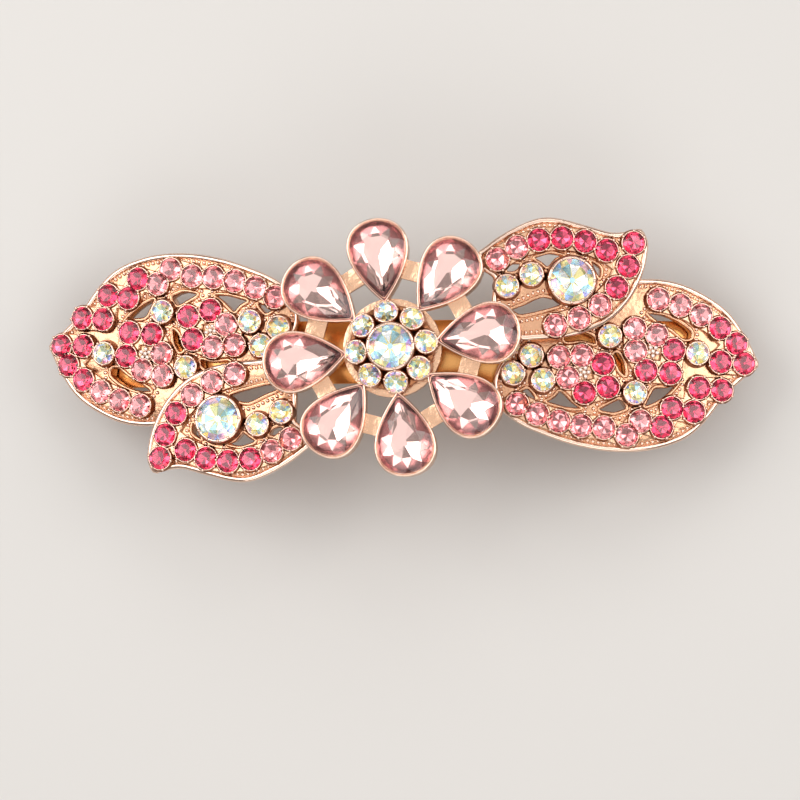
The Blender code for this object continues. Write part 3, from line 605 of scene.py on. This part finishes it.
# Clear lead glass with a thin film on it: bright, with faint colour in what it mirrors
crystal_glass = finish(
    "coated_crystal_glass",
    CLEAR,
    Roughness=0.0,
    IOR=CRYSTAL_IOR,
    Transmission_Weight=1.0,
    Thin_Film_Thickness=FILM_NANOMETRES,
    Thin_Film_IOR=FILM_IOR,
)
# Vapour coats on the back facets: pastel mirrors, a little soft so that neighbouring colours run together
edge_coats = foils("aurora_edge_coat", EDGE_COATS, COAT_ROUGHNESS)
middle_coats = foils("aurora_middle_coat", MIDDLE_COATS, COAT_ROUGHNESS)
large_names = ["centre_crystal", "crystal_large_left", "crystal_large_right"]
small_names = [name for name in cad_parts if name.startswith(("crystal_", "halo_crystal_"))]
small_names = [name for name in small_names if name not in large_names]
for label, names, diameter, cut, cup_sizes in (
    ("aurora_crystals", small_names, SMALL_DIAMETER, SMALL_CUT, SMALL_CUP),
    ("large_aurora_crystals", large_names, LARGE_DIAMETER, LARGE_CUT, LARGE_CUP),
):
    places = [tables(name)[0] for name in names]
    crystal = round_stone(label, diameter, edge_coats, middle_coats, cut)
    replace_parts(set_all(label, places, crystal, crystal_glass), *names)
    crystal_cup = cup(label + "_cup", diameter, **cup_sizes)
    set_all(label + "_cups", places, crystal_cup, rose_gold)


# Flower: eight open cups joined by links, cast in one piece and plated, with a rosette on top for the
# crystals. A pale pink pear-cut stone with a foiled back is glued in each cup, inside a fine bright rim.
PALE_PINK = "#FFE6E2"
PALE_FOIL = "#FFEFEA"
EDGE_FOIL = "#FFC2C3"
SODA_IOR = 1.5
CUP_EDGE = 0.08
CUP_RIM = 0.18
CUP_RIM_INSET = 0.08
CUP_TOP_BAND = 0.2
PETALS = 8
PETAL_TURN = 8.0
DROP_TIP = 6.25
DROP_LENGTH = 10.8
DROP_WIDTH = 7.65
DROP_MIDDLE = 0.62
DROP_BULGE = 0.77  # the most that the two sines of the outline give, so that the width is true
DROP_BACK = ((0.8, 0.22, 0.0), (0.5, 0.5, 0.5), (0.1, 0.74, 0.0))
DROP_CUT = {"crown": 1.05, "girdle": 0.12, "back": DROP_BACK, "facets": 12}

# Pressed soda glass over silver foil: pale and clear, and pinker and softer near the girdle
pink_glass = finish("pale_pink_soda_glass", PALE_PINK, Roughness=0.0, IOR=SODA_IOR, Transmission_Weight=1.0)
pale_foil = finish("pale_pink_foil", PALE_FOIL, Metallic=1.0, Roughness=0.06)
edge_foil = finish("pink_edge_foil", EDGE_FOIL, Metallic=1.0, Roughness=0.2)

# The rosette cup takes the brown gold of painted shade, so that its disc recedes like a shadow
for name, made in (("flower_frame", bed_gold), ("rosette_cup", shadow_gold)):
    dress(name, made, CUP_EDGE)
cup_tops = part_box("flower_frame")[1][2] - CUP_TOP_BAND * MM
rim("flower_rim", edge_loops("flower_frame", CUP_RIM_INSET, cup_tops), CUP_RIM, rose_gold)


def drop_shape(share, turn):
    """A point on a teardrop whose tip is towards the flower's axis, shrunk about its wide part."""
    x = DROP_LENGTH * ((1 - math.cos(turn)) / 2 - DROP_MIDDLE)
    y = DROP_WIDTH / 2 * math.sin(turn) * math.sin(turn / 2) / DROP_BULGE
    return DROP_TIP + DROP_MIDDLE * DROP_LENGTH + share * x, share * y


pear = cut_stone("pear_cut_stone", drop_shape, [edge_foil], [pale_foil], **DROP_CUT)
petals = ["petal_stone_%d" % (i + 1) for i in range(PETALS)]
axis = [(Vector((0, 0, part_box(name)[1][2])), Vector((0, 0, 1))) for name in petals]
headings = [math.radians(PETAL_TURN + 360 / PETALS * i) for i in range(PETALS)]
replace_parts(set_all("pear_stones", axis, pear, pink_glass, headings), *petals)


# Stage: the barrette lies on a pale satin board under five soft boxes of a photographer's studio. A long
# lens looks down on the stones almost along the flower's axis, as the photograph does.
FLOOR = "#D2CFCB"
FLOOR_HALF = 600
SKY = "#E0DAD6"
SKY_STRENGTH = 0.4
# Place, width and height of each soft box in metres, and its watts
SOFT_BOXES = {
    "left_box": ((-0.36, 0.16, 0.44), 0.42, 0.42, 1.65),
    "right_box": ((0.42, 0.1, 0.42), 0.36, 0.42, 1.3),
    "front_box": ((0.05, -0.46, 0.42), 0.56, 0.3, 0.95),
    "back_box": ((0.05, 0.46, 0.42), 0.42, 0.3, 0.6),
    "top_box": ((0.0, 0.0, 0.7), 0.7, 0.7, 1.15),
}
VIEW_LEAN = (0.10, -0.07, 1.0)
AIM = (0.8, -6.8, 18.0)
FRAME_WIDTH = 106.7
LENS = 300.0
SENSOR = 36.0

# Board with a satin varnish: pale, with a faint sheen beside the clip
pale_board = finish("pale_board", FLOOR, Roughness=0.35)

floor_mesh = bpy.data.meshes.new("floor")
corners = [Vector((x, y, 0)) * FLOOR_HALF * MM for x, y in ((-1, -1), (1, -1), (1, 1), (-1, 1))]
floor_mesh.from_pydata(corners, [], [(0, 1, 2, 3)])
floor_mesh.materials.append(pale_board)
floor = bpy.data.objects.new("floor", floor_mesh)
bpy.context.collection.objects.link(floor)

for name, (place, width, height, power) in SOFT_BOXES.items():
    light = bpy.data.lights.new(name, "AREA")
    light.shape = "RECTANGLE"
    light.size = width
    light.size_y = height
    light.energy = power
    lamp = bpy.data.objects.new(name, light)
    lamp.location = place
    lamp.rotation_euler = Vector(place).to_track_quat("Z", "Y").to_euler()
    bpy.context.collection.objects.link(lamp)

world = bpy.data.worlds.new("studio")
bpy.context.scene.world = world
world.use_nodes = True
world.node_tree.nodes["Background"].inputs["Color"].default_value = linear(SKY)
world.node_tree.nodes["Background"].inputs["Strength"].default_value = SKY_STRENGTH

camera_data = bpy.data.cameras.new("camera")
camera_data.lens = LENS
camera_data.sensor_width = SENSOR
camera = bpy.data.objects.new("camera", camera_data)
bpy.context.collection.objects.link(camera)
toward = Vector(VIEW_LEAN).normalized()
camera.location = (Vector(AIM) + toward * FRAME_WIDTH * LENS / SENSOR) * MM
right = Vector((0, 1, 0)).cross(toward).normalized()
camera.rotation_euler = Matrix((right, toward.cross(right), toward)).transposed().to_euler()
bpy.context.scene.camera = camera
bpy.context.scene.view_settings.view_transform = "Standard"
